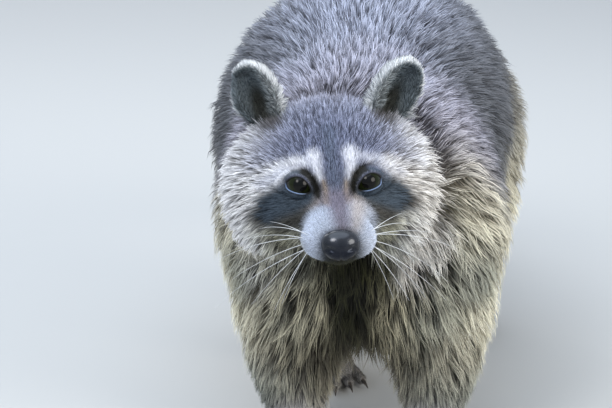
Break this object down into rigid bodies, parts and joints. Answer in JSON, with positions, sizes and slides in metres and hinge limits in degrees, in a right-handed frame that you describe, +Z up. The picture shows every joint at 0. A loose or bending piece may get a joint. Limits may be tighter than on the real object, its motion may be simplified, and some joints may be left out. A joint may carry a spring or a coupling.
{
  "type": "raccoon",
  "caption": "Life-size raccoon walking on all fours, head raised and turned forward, with a full coat, upright ears and a bushy tail.",
  "frame": {"origin": "on the ground under the middle of the animal's bounding box", "axes": "+Z up, the animal faces -Y, its left side is +X"},
  "size_m": [0.2474, 0.7946, 0.3187],
  "materials": {
    "coat": "long grey agouti fur with a dark mask and a ringed tail",
    "short_fur": "short pale fur on ears, jaw and paws",
    "nose_leather": "moist pebbled black skin",
    "eye": "wet dark brown eye",
    "claw": "dark smooth horn",
    "whisker": "stiff white bristle"
  },
  "bodies": {
    "root": {"head": "coat", "lower_jaw": "short_fur", "nose": "nose_leather", "eye_left": "eye", "eye_right": "eye", "ear_left": "short_fur", "ear_right": "short_fur", "neck": "coat", "chest": "coat", "abdomen": "coat", "tail": "coat", "foreleg_left": "coat", "foreleg_right": "coat", "hindleg_left": "coat", "hindleg_right": "coat", "forepaw_left": "short_fur", "forepaw_right": "short_fur", "hindpaw_left": "short_fur", "hindpaw_right": "short_fur"}
  },
  "joints": []
}
